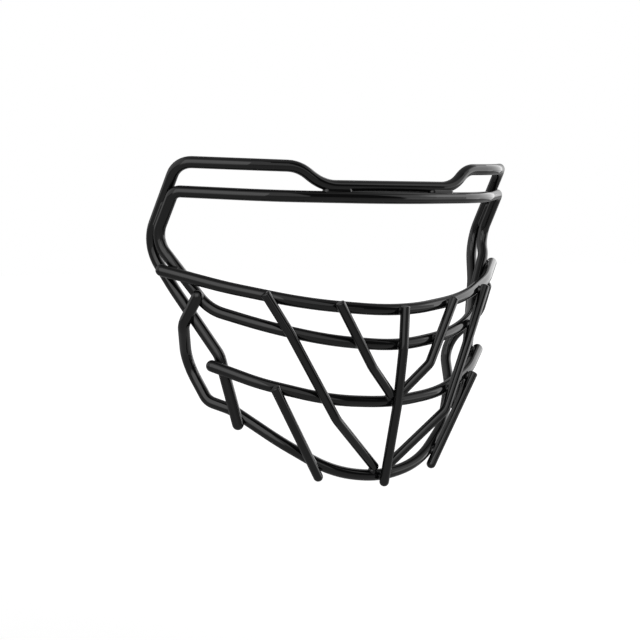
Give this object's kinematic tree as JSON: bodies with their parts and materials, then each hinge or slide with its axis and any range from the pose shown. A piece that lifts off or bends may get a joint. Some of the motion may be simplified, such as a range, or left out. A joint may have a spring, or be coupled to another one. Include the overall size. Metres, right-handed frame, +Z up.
{
  "type": "helmet face mask",
  "caption": "Wire face mask for a sports helmet: bent, coated rods in a curved cage with a wide sight opening and crossed lower struts.",
  "frame": {"origin": "middle of the top bar's dip, on the wire's axis", "axes": "-Y is the front of the mask, +Z is up, +X is the wearer's left"},
  "size_m": [0.2402, 0.082, 0.1821],
  "materials": {
    "frame_wire": "gloss black coating over steel wire",
    "strut_wire": "gloss black coating over steel wire",
    "weld_bead": "gloss black coating over weld metal"
  },
  "bodies": {
    "root": {"frame_rod": "frame_wire", "brow_and_nose_ring": "frame_wire", "eye_bar": "frame_wire", "lip_bar": "frame_wire", "chin_rod": "frame_wire", "centre_strut": "strut_wire", "long_diagonal_left": "strut_wire", "long_diagonal_right": "strut_wire", "short_diagonal_left": "strut_wire", "short_diagonal_right": "strut_wire", "lower_strut_left": "strut_wire", "lower_strut_right": "strut_wire", "centre_welds": "weld_bead", "top_welds_left": "weld_bead", "top_welds_right": "weld_bead", "side_welds_left": "weld_bead", "side_welds_right": "weld_bead", "long_diagonal_welds_left": "weld_bead", "long_diagonal_welds_right": "weld_bead", "short_diagonal_welds_left": "weld_bead", "short_diagonal_welds_right": "weld_bead", "lower_strut_welds_left": "weld_bead", "lower_strut_welds_right": "weld_bead"}
  },
  "joints": []
}
